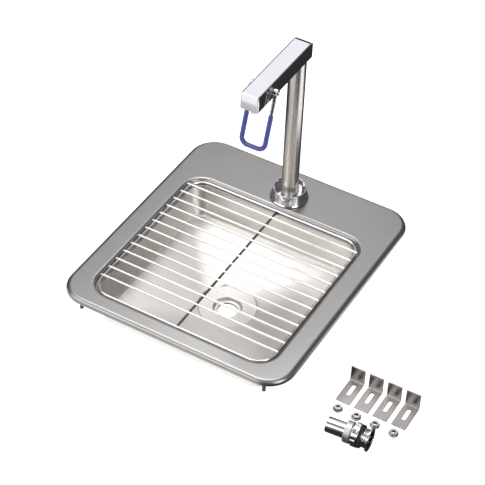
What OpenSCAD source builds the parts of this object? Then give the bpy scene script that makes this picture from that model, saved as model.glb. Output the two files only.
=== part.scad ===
// Drop-in handwash and glass-filling sink: a square drawn bowl under a flat deck, a wire grate
// on the bowl's ledge, a pedestal faucet with a push-back lever, and the loose mounting kit.
// Origin: centre of the deck, on the worktop plane. +X right, +Y to the faucet edge, +Z up.

/* [Deck] */
// Width of the deck, left to right
deck_w = 318; // [290:1:420]
// Depth of the deck, front to back
deck_d = 358.6; // [330:0.2:460]
// Height of the deck's top above the worktop
deck_h = 6.5; // [6.5:0.5:10]
// Outside corner radius of the deck
deck_corner_r = 36; // [20:1:50]
// Outside radius of the rolled outer edge
edge_r = 6; // [3:0.5:6.5]
// Thickness of the stainless sheet
sheet_t = 1.2; // [0.8:0.1:1.6]
// Deck left beside the bowl opening
side_border = 26.5; // [20:0.5:60]
// Deck left in front of the bowl opening
front_border = 20; // [18:0.5:60]
// Deck left behind the bowl opening, where the faucet stands
back_border = 74.6; // [70:0.2:120]

/* [Bowl] */
// Corner radius of the bowl opening in the deck
bowl_corner_r = 32; // [28:1:60]
// Radius of the roll from the deck down to the grate ledge
lip_r = 5.5; // [3:0.5:6]
// Width of the ledge that carries the grate
ledge_w = 6.5; // [5:0.5:12]
// Depth from the deck's top to the foot of the bowl wall
wall_depth = 55; // [40:1:150]
// Inward lean of the bowl wall over its height
wall_draft = 2; // [0.5:0.5:6]
// Fall of the floor from the wall to the drain recess
floor_fall = 17; // [8:1:30]

/* [Drain] */
// Radius of the round recess in the middle of the floor
recess_r = 39; // [30:1:50]
// Depth of the round recess
recess_h = 2; // [1:0.5:4]
// Radius of the seat dimple
dimple_r = 18.8; // [18:0.2:24]
// Depth of the seat dimple
dimple_h = 5.5; // [3:0.5:8]
// Diameter of the drain hole
drain_hole_d = 25.4; // [24.4:0.1:28]
// Length of the turned-down lip of the drain hole
drain_lip_h = 2.5; // [2:0.5:6]

/* [Studs] */
// Diameter of the hold-down studs
stud_d = 4.8; // [4:0.1:6]
// Length of the studs below the sheet
stud_l = 28.3; // [20:0.1:40]
// Distance of the studs from the deck's side edges
stud_side_inset = 29; // [20:1:40]
// Distance of the studs from the front and back edges
stud_end_inset = 15.3; // [12:0.1:20]

/* [Grate] */
// Diameter of the grate wire
wire_d = 3.2; // [2.5:0.1:5]
// Number of cross wires
wire_count = 13; // [7:1:19]
// Centreline corner radius of the frame wire
frame_corner_r = 24; // [12:1:30]
// Distance of the frame wire's centreline in from the ledge's outer edge
frame_inset = 2.9; // [2.5:0.1:5]
// Overhang of the cross wires past the frame wire's centreline
wire_overhang = 2.6; // [0:0.1:3]
// Distance from the front run of the frame to the first cross wire
first_wire_gap = 25.5; // [10:0.5:40]
// Distance from the last cross wire to the back run of the frame
last_wire_gap = 18; // [8:0.5:40]
// Rest clearance between the grate and the ledge
grate_rest_gap = 0.3; // [0.1:0.1:0.5]

/* [Pedestal] */
// Distance of the pedestal's axis from the back edge of the deck
post_inset = 52; // [45:1:70]
// Outside diameter of the riser tube
post_d = 22.2; // [20:0.1:28]
// Wall of the riser tube
post_wall = 1.2; // [0.8:0.1:2]
// Height of the faucet head's underside above the deck
head_rise = 221.8; // [150:0.1:320]
// Diameter of the collar's foot
collar_d = 50.8; // [48:0.1:56]
// Diameter of the collar's open top
collar_top_d = 44; // [40:0.5:46]
// Height of the collar
collar_h = 15.5; // [12:0.5:25]
// Thickness of the collar's wall
collar_wall = 1.3; // [1:0.1:2.5]
// Thickness of the collar's floor
collar_floor = 3.2; // [2:0.1:5]
// Thickness of the gasket under the collar
gasket_t = 0.8; // [0.5:0.1:2]
// Diameter of the threaded shank
shank_d = 20.6; // [18:0.1:21]
// Length of the shank below the deck sheet
shank_l = 50; // [42:1:70]
// Diameter of the supply thread on the shank's lower end
inlet_d = 20.2; // [18:0.1:20.4]
// Length of the supply thread
inlet_l = 18; // [12:1:24]
// Diameter of the waterway in the shank
waterway_d = 13; // [8:0.5:14]
// Width across flats of the shank nut
shank_nut_af = 32; // [28:1:36]
// Height of the shank nut
shank_nut_h = 8; // [5:0.5:12]

/* [Faucet head] */
// Width of the head
head_w = 24; // [22:0.5:32]
// Length of the head
head_l = 134.7; // [110:0.1:180]
// Height of the head
head_h = 22.6; // [22.6:0.1:30]
// Wall of the head
head_wall = 1.8; // [1.5:0.1:3]
// Length of the head behind the pedestal's axis
head_tail = 14.7; // [13:0.1:30]
// Thickness of the cover plate let into the top of the head
cover_t = 1.2; // [0.8:0.1:2]
// Depth of the cover plate below the head's rim
cover_sink = 0.3; // [0.1:0.1:1]
// Width of the head's rim round the cover plate
rim_w = 1; // [0.8:0.1:1.2]
// Distance of the nozzle's axis from the front of the head
nozzle_inset = 12.2; // [11:0.1:14]
// Diameter of the nozzle tip
nozzle_d = 8; // [6:0.5:8]
// Drop of the nozzle below the head
nozzle_drop = 10.5; // [6:0.5:20]

/* [Lever] */
// Distance of the lever's pivot from the front of the head
pivot_inset = 35.7; // [35:0.1:45]
// Height of the pivot above the head's underside
pivot_rise = 11.7; // [11:0.1:13]
// Diameter of the pivot shaft
shaft_d = 6; // [5:0.1:6]
// Running clearance of the shaft in its bushes, on radius
shaft_clear = 0.05; // [0.02:0.01:0.1]
// Diameter of the lever's hubs
hub_d = 8.6; // [8:0.1:12]
// Distance of the lever arms' centrelines out from the head's sides
arm_gap = 4.2; // [4.2:0.1:8]
// Length from the pivot to the centreline of the bottom bar
lever_l = 78; // [55:1:120]
// Centreline radius of the loop's bottom corners
lever_corner_r = 9; // [6:0.5:12]
// Forward lean of the lever at rest, in degrees
lever_lean = 17.2; // [10:0.1:25]
// Diameter of the lever wire
lever_wire_d = 4.6; // [4:0.1:6]
// Outside diameter of the vinyl coating
coat_d = 6; // [5.2:0.1:6.2]
// Length of bare wire between the pivot and the coating
bare_l = 31; // [10:1:45]

/* [Mounting kit] */
// Distance of the first clip from the deck's right edge
kit_gap = 31; // [20:1:80]
// Spacing of the clips and nuts
kit_pitch = 25.2; // [22:0.1:40]
// Width of a clip
clip_w = 19; // [14:0.5:21]
// Depth of a clip's foot
clip_l = 40; // [34:0.5:60]
// Height of a clip's upright
clip_h = 25; // [15:0.5:40]
// Thickness of a clip
clip_t = 1.5; // [1:0.1:3]
// Length of the clip's slot
slot_l = 20; // [12:0.5:24]
// Width of the clip's slot
slot_w = 5.5; // [5.1:0.1:7]
// Distance of the clips' uprights in front of the deck's centre
clip_y = 48; // [20:1:80]
// Diameter of the drain flange
flange_d = 30; // [29:0.5:33]
// Diameter of the drain's threaded barrel
barrel_d = 24; // [23:0.1:24.2]
// Outside diameter of the tailpiece
tail_d = 19.4; // [16:0.1:20]
// Turn of the drain fitting as it lies, in degrees
drain_turn = 5; // [0:1:20]

/* [Hidden] */
$fn = 96;

// Clearances, on radius
slip = 0.2;
hole_clear = 0.7;
gasket_clear = 1;
neck_clear = 0.1;

// Deck and bowl opening
deck_under = deck_h - sheet_t;
open_w = deck_w - 2 * side_border;
open_d = deck_d - front_border - back_border;
open_y = (front_border - back_border) / 2;
open_cx = open_w / 2 - bowl_corner_r;
open_cy = open_d / 2 - bowl_corner_r;

// Levels going down into the bowl
ledge_z = deck_h - lip_r;
wall_top = ledge_z - sheet_t;
wall_foot = deck_h - wall_depth;
recess_edge = wall_foot - floor_fall;
recess_floor = recess_edge - recess_h;
recess_slope = 1;
dimple_floor = recess_floor - dimple_h;
base_z = dimple_floor - drain_lip_h;
hole_r = drain_hole_d / 2;
seam = 0.6;

// Distances out from the bowl's corner centres
ledge_outer = bowl_corner_r - lip_r;
ledge_inner = ledge_outer - ledge_w;
foot_inner = ledge_inner - wall_draft;

// Grate
frame_z = ledge_z + grate_rest_gap + wire_d / 2;
cross_z = frame_z + wire_d;
frame_half_x = open_cx + ledge_outer - frame_inset;
frame_half_y = open_cy + ledge_outer - frame_inset;
wire_first = open_y - frame_half_y + first_wire_gap;
wire_last = open_y + frame_half_y - last_wire_gap;
wire_pitch = (wire_last - wire_first) / (wire_count - 1);

// Pedestal, from the deck upward
post_y = deck_d / 2 - post_inset;
post_r = post_d / 2;
bore_r = post_r - post_wall;
collar_z = deck_h + gasket_t;
coupling_z = collar_z + collar_floor;
coupling_top = deck_h + 14.6;
socket_l = 6;
groove_h = 0.5;
spigot_h = 8;
head_z = deck_h + head_rise;
plug_h = 12;
neck_r = 7;
neck_bore_r = 3.5;
screw_r = 1.5;
screw_drop = 5;
screw_bite = 2;
screw_proud = 0.4;
screw_turn = -45;
under_ring_t = 2;
under_ring_r = 19;

// Head and its floor
head_front = post_y + head_tail - head_l;
floor_top = head_z + 1.5;
head_top = head_z + head_h;
cover_top = head_top - cover_sink;
cover_under = cover_top - cover_t;
back_drop = 2.4;
back_slope_l = 5.2;
tail_block = 5.4;
head_nut_h = 4.5;
head_nut_af = 18;
elbow_r = 6.5;
elbow_half = 3.8;
elbow_z = floor_top + head_nut_h;
arm_z = elbow_z + 5;
arm_h = 8;
nozzle_y = head_front + nozzle_inset;
pivot_y = head_front + pivot_inset;
pivot_z = head_z + pivot_rise;

// Valve: the stem lies along Y above the pivot's height
stem_d = 3;
stem_rise = 4.2;
stem_z = pivot_z + stem_rise;
chamber_r = 3.8;
valve_front = head_front + 2.3;
seat_y = valve_front + 7.4;
valve_back = valve_front + 25.4;
valve_half_w = head_w / 2 - head_wall - 0.7;
valve_top_gap = 0.2;
plug_l = 2;
poppet_r = 3.2;
poppet_l = 1.6;
poppet_y = valve_front + 5;
washer_back = seat_y - 0.05;
outlet_r = 2.5;
outlet_l = 9;
seal_y = valve_back - 6;
seal_groove_l = 2;
seal_groove_r = 2.7;
nozzle_r = nozzle_d / 2;
nozzle_neck_r = nozzle_r - 0.4;
nozzle_neck_h = 6;
nozzle_collar_h = 2.5;
nozzle_washer_t = 0.8;
feed_r = 1.7;
feed_wall = 0.8;
feed_x = head_w / 2 - head_wall - elbow_half - 0.6;
feed_z = floor_top + 3.7;
feed_back = post_y - 16;
rise_r = 1.5;
rise_x = 3.2;
rise_y = valve_front + 3.2;
nose_r = 1.5;
nose_y = -4.3;
stem_back = pivot_y + nose_y - nose_r;

// Return spring
spring_r = 2.6;
spring_turns = 3;
spring_wire_r = 0.25;
spring_steps = 48;
spring_sides = 8;

// Lever
shaft_r = shaft_d / 2;
bush_r = 4;
bush_flange_r = bush_r + 0.8;
bush_flange_t = 0.6;
arm_x = head_w / 2 + arm_gap;
hub_in = head_w / 2 + bush_flange_t + 0.3;
hub_out = arm_x + 3.4;
shaft_end = hub_out - 1;

// Loose kit
kit_x = deck_w / 2 + kit_gap + clip_w / 2;
clip_front = -clip_y - clip_l;
nut_y = clip_front - 12;
nut_clear = 0.05;
nut_af = 9.5;
nut_h = 3.4;
nut_washer_d = 12.7;
nut_washer_t = 1;
drain_l = 56;
drain_x = kit_x + 6;
drain_y = clip_front - 52;
flange_t = 2.6;
barrel_back = 28;
barrel_wall = 1.6;
body_wall = 1.4;
throat_x = drain_l - 14;
tail_wall = 1.3;
tail_socket = 8;
slip_nut_x = 24;
slip_nut_l = 8;
slip_nut_wall = 1.8;
locknut_x = 34;
locknut_l = 8;
gasket_x = 42.4;
gasket_l = 3.4;

// ---------- helpers ----------

// Rounded rectangle with true arcs, given by its corner centres and its corner radius
module rounded(cx, cy, r) {
    square([2 * (cx + r), 2 * cy], center = true);
    square([2 * cx, 2 * (cy + r)], center = true);
    for (x = [-cx, cx], y = [-cy, cy]) translate([x, y]) circle(r);
}

// Carries a section round a rounded rectangle; the section's x runs out from the corner centres
module around(cx, cy) {
    for (k = [[0, cx, cy], [90, cy, cx], [180, cx, cy], [270, cy, cx]])
        rotate(k[0])
            translate([k[1], 0, 0])
                rotate([90, 0, 0])
                    linear_extrude(2 * k[2], center = true) children();
    for (k = [[1, 1, 0], [-1, 1, 90], [-1, -1, 180], [1, -1, 270]])
        translate([k[0] * cx, k[1] * cy, 0])
            rotate(k[2])
                rotate_extrude(angle = 90) children();
}

// Quarter of a sheet bend about a centre, opening up and to the right
module bend(r, t) {
    intersection() {
        difference() {
            circle(r);
            circle(r - t);
        }
        square(r);
    }
}

// Ring standing on z = 0
module ring(r_out, r_in, h) {
    difference() {
        cylinder(h = h, r = r_out);
        translate([0, 0, -1]) cylinder(h = h + 2, r = r_in);
    }
}

// Hexagonal prism standing on z = 0, given across its flats
module hex(af, h) {
    cylinder(h = h, r = af / 2 / cos(30), $fn = 6);
}

// Cylinder along X from one place to another
module rod_x(r, x0, x1) {
    translate([x0, 0, 0]) rotate([0, 90, 0]) cylinder(h = x1 - x0, r = r);
}

// Cylinder along Y from one place to another
module rod_y(r, y0, y1) {
    translate([0, y1, 0]) rotate([90, 0, 0]) cylinder(h = y1 - y0, r = r);
}

// ---------- deck and bowl ----------

module deck() {
    color("silver")
        difference() {
            union() {
                translate([0, 0, deck_under])
                    linear_extrude(sheet_t)
                        difference() {
                            rounded(deck_w / 2 - deck_corner_r, deck_d / 2 - deck_corner_r,
                                deck_corner_r - edge_r);
                            translate([0, open_y]) rounded(open_cx, open_cy, bowl_corner_r);
                        }
                around(deck_w / 2 - deck_corner_r, deck_d / 2 - deck_corner_r) edge_section();
                translate([0, open_y, 0]) around(open_cx, open_cy) lip_section();
            }
            translate([0, post_y, deck_under - 1]) cylinder(h = sheet_t + 2, r = shank_d / 2 + hole_clear);
        }
}

// Rolled outer edge, which ends on the worktop
module edge_section() {
    translate([deck_corner_r - edge_r, deck_h - edge_r]) bend(edge_r, sheet_t);
    if (deck_h > edge_r)
        translate([deck_corner_r - sheet_t, 0]) square([sheet_t, deck_h - edge_r]);
}

// Roll down from the deck and the ledge inside it
module lip_section() {
    translate([bowl_corner_r, ledge_z]) mirror([1, 0]) bend(lip_r, sheet_t);
    translate([ledge_inner, wall_top]) square([ledge_w + sheet_t, sheet_t]);
}

module bowl() {
    color("lightgray")
        translate([0, open_y, 0]) {
            around(open_cx, open_cy) wall_section();
            floor_panels();
            drain_seat();
        }
}

// Leaning wall, welded to the underside of the ledge
module wall_section() {
    polygon([
        [ledge_inner, wall_top], [ledge_inner + sheet_t, wall_top],
        [foot_inner + sheet_t, wall_foot], [foot_inner, wall_foot]
    ]);
}

// Four panels falling from the foot of the wall to the round recess
module floor_panels() {
    difference() {
        hull() {
            translate([0, 0, wall_foot - sheet_t])
                linear_extrude(sheet_t) rounded(open_cx, open_cy, foot_inner + sheet_t, $fn = 48);
            translate([0, 0, recess_edge - sheet_t])
                cylinder(h = sheet_t, r = recess_r + sheet_t, $fn = 64);
        }
        hull() {
            translate([0, 0, wall_foot])
                linear_extrude(1) rounded(open_cx, open_cy, foot_inner, $fn = 48);
            translate([0, 0, recess_edge]) cylinder(h = 1, r = recess_r, $fn = 64);
        }
        translate([0, 0, recess_edge - 2 * sheet_t]) cylinder(h = 4 * sheet_t, r = recess_r - seam);
    }
}

// Turned recess, seat dimple and turned-down hole
module drain_seat() {
    step = 1.2;
    taper = 2;
    mitre = 0.8;
    under = recess_floor - recess_slope - sheet_t;
    rotate_extrude()
        polygon([
            [recess_r + seam, recess_edge], [recess_r - seam, recess_edge],
            [recess_r - seam - step, recess_floor], [dimple_r, recess_floor - recess_slope],
            [dimple_r - taper, dimple_floor], [hole_r, dimple_floor], [hole_r, base_z],
            [hole_r + sheet_t, base_z], [hole_r + sheet_t, dimple_floor - sheet_t],
            [dimple_r - taper + mitre, dimple_floor - sheet_t], [dimple_r + mitre, under],
            [recess_r - step, recess_floor - sheet_t], [recess_r + seam, recess_edge - sheet_t]
        ]);
}

// Weld stud with a small flange under the sheet
module stud(sx, sy) {
    flange_h = 0.8;
    color("gainsboro")
        translate([
            sx * (deck_w / 2 - stud_side_inset), sy * (deck_d / 2 - stud_end_inset),
            deck_under - stud_l
        ]) {
            cylinder(h = stud_l, d = stud_d);
            translate([0, 0, stud_l - flange_h]) cylinder(h = flange_h, d = stud_d + 2);
        }
}

// ---------- grate ----------

module grate_frame() {
    color("white")
        translate([0, open_y, frame_z])
            around(frame_half_x - frame_corner_r, frame_half_y - frame_corner_r)
                translate([frame_corner_r, 0]) circle(d = wire_d);
}

module grate_centre_rail() {
    color("white")
        translate([0, open_y, frame_z])
            rod_y(wire_d / 2, -frame_half_y + wire_d / 2, frame_half_y - wire_d / 2);
}

module grate_cross_wires() {
    color("white")
        for (i = [0:wire_count - 1])
            translate([0, wire_first + i * wire_pitch, cross_z])
                rod_x(wire_d / 2, -frame_half_x - wire_overhang, frame_half_x + wire_overhang);
}

// ---------- pedestal ----------

module collar_gasket() {
    color("dimgray")
        translate([0, post_y, deck_h]) ring(collar_d / 2 - 1, shank_d / 2 + gasket_clear, gasket_t);
}

// Open conical cup round the foot of the riser
module collar() {
    foot_t = 2;
    foot_slope = 0.6;
    shoulder = 1.1;
    fillet_r = 1.3;
    fillet_h = 0.8;
    eye_r = shank_d / 2 + slip;
    top_r = collar_top_d / 2;
    cup_r = collar_d / 2 - shoulder;
    floor_r = cup_r - 2 * collar_wall;
    color("silver")
        translate([0, post_y, collar_z])
            rotate_extrude()
                polygon([
                    [eye_r, 0], [collar_d / 2, 0], [collar_d / 2, foot_t], [cup_r, foot_t + foot_slope],
                    [top_r, collar_h], [top_r - collar_wall, collar_h],
                    [floor_r, collar_floor + fillet_h], [floor_r - fillet_r, collar_floor],
                    [eye_r, collar_floor]
                ]);
}

// Threaded shank, a little smaller at its lower end for the supply coupling
module shank() {
    color("goldenrod")
        translate([0, post_y, deck_under - shank_l]) {
            ring(inlet_d / 2, waterway_d / 2, inlet_l);
            translate([0, 0, inlet_l])
                ring(shank_d / 2, waterway_d / 2, shank_l - inlet_l + coupling_z + socket_l - deck_under);
        }
}

module under_gasket() {
    color("dimgray")
        translate([0, post_y, deck_under - under_ring_t])
            ring(under_ring_r, shank_d / 2 + slip, under_ring_t);
}

module shank_washer() {
    color("lightgray")
        translate([0, post_y, deck_under - 2 * under_ring_t])
            ring(under_ring_r, shank_d / 2 + slip, under_ring_t);
}

module shank_nut() {
    color("goldenrod")
        translate([0, post_y, deck_under - 2 * under_ring_t - shank_nut_h])
            difference() {
                hex(shank_nut_af, shank_nut_h);
                translate([0, 0, -1]) cylinder(h = shank_nut_h + 2, d = shank_d);
            }
}

// Short coupling on the shank; its spigot holds the riser, and a groove shows between them
module base_coupling() {
    sleeve_h = coupling_top - coupling_z;
    full_h = sleeve_h + groove_h + spigot_h;
    color("silver")
        translate([0, post_y, coupling_z])
            difference() {
                union() {
                    cylinder(h = sleeve_h, r = post_r);
                    cylinder(h = full_h, r = bore_r);
                }
                translate([0, 0, -1]) cylinder(h = socket_l + 1, d = shank_d);
                translate([0, 0, -1]) cylinder(h = full_h + 2, d = waterway_d);
            }
}

module riser_tube() {
    h = head_z - coupling_top - groove_h;
    color("lightgray")
        translate([0, post_y, coupling_top + groove_h])
            difference() {
                ring(post_r, bore_r, h);
                translate([0, 0, h - screw_drop])
                    rotate([0, 0, screw_turn]) rod_x(screw_r, bore_r - 1, post_r + 1);
            }
}

// Plug brazed in the riser's top; its neck goes up through the head's floor
module riser_plug() {
    full_h = plug_h + floor_top - head_z + head_nut_h;
    color("goldenrod")
        translate([0, post_y, head_z - plug_h])
            difference() {
                union() {
                    cylinder(h = plug_h, r = bore_r);
                    cylinder(h = full_h, r = neck_r);
                }
                translate([0, 0, -1]) cylinder(h = full_h + 2, r = neck_bore_r);
                translate([0, 0, plug_h - screw_drop])
                    rotate([0, 0, screw_turn]) rod_x(screw_r, bore_r - screw_bite, post_r);
            }
}

// Grub screw that locks the riser to its plug
module riser_screw() {
    color("gainsboro")
        translate([0, post_y, head_z - screw_drop])
            rotate([0, 0, screw_turn]) rod_x(screw_r, bore_r - screw_bite, post_r + screw_proud);
}

module head_nut() {
    color("goldenrod")
        translate([0, post_y, floor_top])
            difference() {
                rotate([0, 0, 30]) hex(head_nut_af, head_nut_h);
                translate([0, 0, -1]) cylinder(h = head_nut_h + 2, r = neck_r);
            }
}

// Elbow on the plug's neck that turns the water forward and down into the feed tube
module head_elbow() {
    middle = arm_z + arm_h / 2;
    color("goldenrod")
        difference() {
            union() {
                translate([0, post_y, elbow_z]) cylinder(h = arm_z + arm_h - elbow_z, r = elbow_r);
                translate([feed_x - elbow_half, feed_back - elbow_half, arm_z])
                    cube([2 * elbow_half, post_y - feed_back + elbow_half, arm_h]);
            }
            translate([0, post_y, elbow_z - 1]) cylinder(h = middle - elbow_z + 1, r = neck_bore_r);
            translate([feed_x, 0, middle]) rod_y(feed_r, feed_back, post_y);
            translate([0, post_y, middle]) rod_x(feed_r, 0, feed_x);
            translate([feed_x, feed_back, arm_z - 1]) cylinder(h = arm_h / 2 + 1, r = feed_r);
        }
}

// ---------- head ----------

// Box with a rebate at the top for the cover plate and a solid tail that slopes down behind it
module head_shell() {
    floor_h = floor_top - head_z + 2;
    color("silver")
        difference() {
            translate([-head_w / 2, head_front, head_z]) cube([head_w, head_l, head_h]);
            translate([-head_w / 2 + head_wall, head_front + head_wall, floor_top])
                cube([head_w - 2 * head_wall, head_l - 2 * head_wall, elbow_z + 1 - floor_top]);
            translate([-head_w / 2 + head_wall, head_front + head_wall, floor_top])
                cube([head_w - 2 * head_wall, head_l - head_wall - tail_block, head_h]);
            translate([-head_w / 2 + rim_w, head_front + rim_w, cover_under])
                cube([head_w - 2 * rim_w, head_l - rim_w - tail_block, head_h]);
            translate([0, post_y, head_z - 1]) cylinder(h = floor_h, r = neck_r + neck_clear);
            translate([0, nozzle_y, head_z - 1]) cylinder(h = floor_h, r = nozzle_r + neck_clear);
            translate([0, pivot_y, pivot_z]) rod_x(bush_r, -head_w, head_w);
            translate([-head_w, head_front + head_l, head_top - back_drop])
                rotate([atan(back_slope_l / back_drop), 0, 0]) cube([2 * head_w, head_h, head_h]);
        }
}

module head_cover() {
    color("lavender")
        translate([-head_w / 2 + rim_w, head_front + rim_w, cover_under])
            cube([head_w - 2 * rim_w, head_l - rim_w - tail_block, cover_t]);
}

// Copper tube from the elbow to the valve, under the pivot shaft
module feed_tube() {
    color("peru")
        difference() {
            feed_path(feed_r + feed_wall, 0);
            feed_path(feed_r, 1);
        }
}

// Run of the feed tube at a radius, drawn longer at both ends when it is a cut
module feed_path(r, extra) {
    translate([feed_x, 0, feed_z]) rod_y(r, valve_back - extra, feed_back);
    translate([feed_x, feed_back, feed_z]) sphere(r);
    translate([feed_x, feed_back, feed_z]) cylinder(h = arm_z - feed_z + extra, r = r);
}

// ---------- valve ----------

module valve_body() {
    color("goldenrod")
        difference() {
            translate([-valve_half_w, valve_front, floor_top])
                cube([
                    2 * valve_half_w, valve_back - valve_front, cover_under - floor_top - valve_top_gap
                ]);
            translate([0, 0, stem_z]) {
                rod_y(chamber_r, valve_front - 1, seat_y);
                rod_y(outlet_r, seat_y - 1, seat_y + outlet_l);
                rod_y(stem_d / 2 + shaft_clear, seat_y, valve_back + 1);
                rod_y(seal_groove_r, seal_y - seal_groove_l / 2, seal_y + seal_groove_l / 2);
            }
            translate([0, nozzle_y, floor_top - 1]) cylinder(h = stem_z - floor_top + 1, r = outlet_r);
            translate([0, nozzle_y, floor_top - 1]) cylinder(h = nozzle_neck_h + 1, r = nozzle_neck_r);
            translate([feed_x, 0, feed_z]) rod_y(feed_r, valve_front + 2, valve_back + 1);
            translate([rise_x, rise_y, feed_z - rise_r]) cylinder(h = stem_z - feed_z + rise_r, r = rise_r);
            translate([0, rise_y, feed_z]) rod_x(rise_r, rise_x, feed_x);
        }
}

module valve_plug() {
    color("gold")
        translate([0, 0, stem_z]) rod_y(chamber_r, valve_front, valve_front + plug_l);
}

// Centreline of the return spring
function coil(a, h) = [spring_r * cos(a), spring_r * sin(a), h * a / (360 * spring_turns)];

// Wire of the spring, swept along a helix by rings of points
module coil_wire(h) {
    rings = [
        for (i = [0:spring_steps])
            let (a = 360 * spring_turns * i / spring_steps, c = coil(a, h))
                for (j = [0:spring_sides - 1])
                    let (b = 360 * j / spring_sides, r = spring_wire_r * cos(b))
                        [c[0] + r * cos(a), c[1] + r * sin(a), c[2] + spring_wire_r * sin(b)]
    ];
    sides = [
        for (i = [0:spring_steps - 1], j = [0:spring_sides - 1])
            let (p = i * spring_sides, q = (j + 1) % spring_sides)
                [p + j, p + spring_sides + j, p + spring_sides + q, p + q]
    ];
    first = [for (j = [0:spring_sides - 1]) j];
    last = [for (j = [spring_sides - 1:-1:0]) spring_steps * spring_sides + j];
    polyhedron(points = rings, faces = concat(sides, [first], [last]));
}

module valve_spring() {
    gap = spring_wire_r;
    front = valve_front + plug_l + gap;
    color("gainsboro")
        translate([0, front, stem_z]) rotate([-90, 0, 0]) coil_wire(poppet_y - front - gap);
}

module valve_stem() {
    color("silver")
        translate([0, 0, stem_z]) {
            rod_y(poppet_r, poppet_y, poppet_y + poppet_l);
            rod_y(stem_d / 2, poppet_y, stem_back);
        }
}

module valve_washer() {
    color("black")
        translate([0, 0, stem_z])
            difference() {
                rod_y(poppet_r, poppet_y + poppet_l, washer_back);
                rod_y(stem_d / 2, poppet_y, seat_y + 1);
            }
}

module stem_seal() {
    cord_r = 0.56;
    color("black")
        translate([0, seal_y, stem_z])
            rotate([90, 0, 0])
                rotate_extrude()
                    translate([seal_groove_r - cord_r - 0.02, 0]) circle(r = cord_r, $fn = 32);
}

module nozzle_washer() {
    color("dimgray")
        translate([0, nozzle_y, head_z - nozzle_washer_t])
            ring(nozzle_r + 1.4, nozzle_neck_r, nozzle_washer_t);
}

module nozzle() {
    collar_foot = head_z - nozzle_washer_t - nozzle_collar_h;
    color("ivory")
        translate([0, nozzle_y, 0])
            difference() {
                union() {
                    translate([0, 0, head_z - nozzle_washer_t])
                        cylinder(h = floor_top + nozzle_neck_h - head_z + nozzle_washer_t, r = nozzle_neck_r);
                    translate([0, 0, collar_foot]) cylinder(h = nozzle_collar_h, r = nozzle_r + 1.6);
                    translate([0, 0, head_z - nozzle_drop])
                        cylinder(h = collar_foot - head_z + nozzle_drop, r = nozzle_r);
                }
                translate([0, 0, head_z - nozzle_drop - 1])
                    cylinder(h = nozzle_drop + head_h, r = outlet_r);
            }
}

// ---------- lever ----------

// Flanged bush in the head's side wall, for the right side
module bush() {
    translate([0, pivot_y, pivot_z])
        difference() {
            union() {
                rod_x(bush_r, head_w / 2 - head_wall, head_w / 2);
                rod_x(bush_flange_r, head_w / 2, head_w / 2 + bush_flange_t);
            }
            rod_x(shaft_r + shaft_clear, 0, head_w);
        }
}

module bush_left() {
    color("gold") mirror([1, 0, 0]) bush();
}

module bush_right() {
    color("gold") bush();
}

module pivot_shaft() {
    color("silver") translate([0, pivot_y, pivot_z]) rod_x(shaft_r, -shaft_end, shaft_end);
}

// Cam keyed to the shaft; its nose meets the stem's tail
module lever_cam() {
    half = 2.5;
    boss_r = 4.6;
    color("gold")
        translate([0, pivot_y, pivot_z])
            difference() {
                union() {
                    rod_x(boss_r, -half, half);
                    translate([0, nose_y, stem_rise]) rod_x(nose_r, -half, half);
                    translate([-half, nose_y, 0]) cube([2 * half, -nose_y, stem_rise]);
                }
                rod_x(shaft_r, -head_w, head_w);
            }
}

// Hub on the shaft's end, for the right side; the lever wire enters from below
module hub() {
    translate([0, pivot_y, pivot_z])
        difference() {
            rod_x(hub_d / 2, hub_in, hub_out);
            rod_x(shaft_r, 0, shaft_end);
            rotate([-lever_lean, 0, 0])
                translate([arm_x, 0, -hub_d]) cylinder(h = hub_d, d = lever_wire_d);
        }
}

module lever_hub_left() {
    color("silver") mirror([1, 0, 0]) hub();
}

module lever_hub_right() {
    color("silver") hub();
}

// Loop of round section hanging below the pivot, from a given distance down
module loop(d, start) {
    cx = arm_x - lever_corner_r;
    cz = -lever_l + lever_corner_r;
    translate([0, pivot_y, pivot_z])
        rotate([-lever_lean, 0, 0]) {
            for (s = [-1, 1])
                translate([s * arm_x, 0, cz]) cylinder(h = -start - cz, d = d);
            rod_at_bottom(d, cx);
            for (s = [0, 1])
                mirror([s, 0, 0])
                    translate([cx, 0, cz])
                        rotate([-90, 0, 0])
                            rotate_extrude(angle = 90) translate([lever_corner_r, 0]) circle(d = d);
        }
}

module rod_at_bottom(d, cx) {
    translate([0, 0, -lever_l]) rod_x(d / 2, -cx, cx);
}

module lever_wire() {
    color("lightgray") loop(lever_wire_d, shaft_r + shaft_clear);
}

module lever_coating() {
    color("slateblue")
        difference() {
            loop(coat_d, bare_l);
            loop(lever_wire_d, bare_l - 1);
        }
}

// ---------- mounting kit ----------

// Slotted angle clip lying on its foot
module clip(i) {
    slot_shift = 3;
    color("rosybrown")
        translate([kit_x + i * kit_pitch, -clip_y, base_z])
            difference() {
                union() {
                    translate([-clip_w / 2, -clip_l, 0]) cube([clip_w, clip_l, clip_t]);
                    translate([-clip_w / 2, -clip_t, 0]) cube([clip_w, clip_t, clip_h]);
                }
                translate([0, -clip_l / 2 + slot_shift, -1])
                    linear_extrude(clip_t + 2) {
                        square([slot_w, slot_l - slot_w], center = true);
                        for (s = [-1, 1]) translate([0, s * (slot_l - slot_w) / 2]) circle(d = slot_w);
                    }
            }
}

module clip_washer(i) {
    color("gainsboro")
        translate([kit_x + i * kit_pitch, nut_y, base_z])
            ring(nut_washer_d / 2, stud_d / 2 + slip, nut_washer_t);
}

module clip_nut(i) {
    color("gainsboro")
        translate([kit_x + i * kit_pitch, nut_y, base_z + nut_washer_t])
            difference() {
                hex(nut_af, nut_h);
                translate([0, 0, -1]) cylinder(h = nut_h + 2, r = stud_d / 2 + nut_clear);
            }
}

// Lays a piece of the drain fitting, built along X, on the surface beside the sink
module lay_drain() {
    translate([drain_x, drain_y, base_z + flange_d / 2])
        rotate([0, 0, drain_turn]) children();
}

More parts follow.
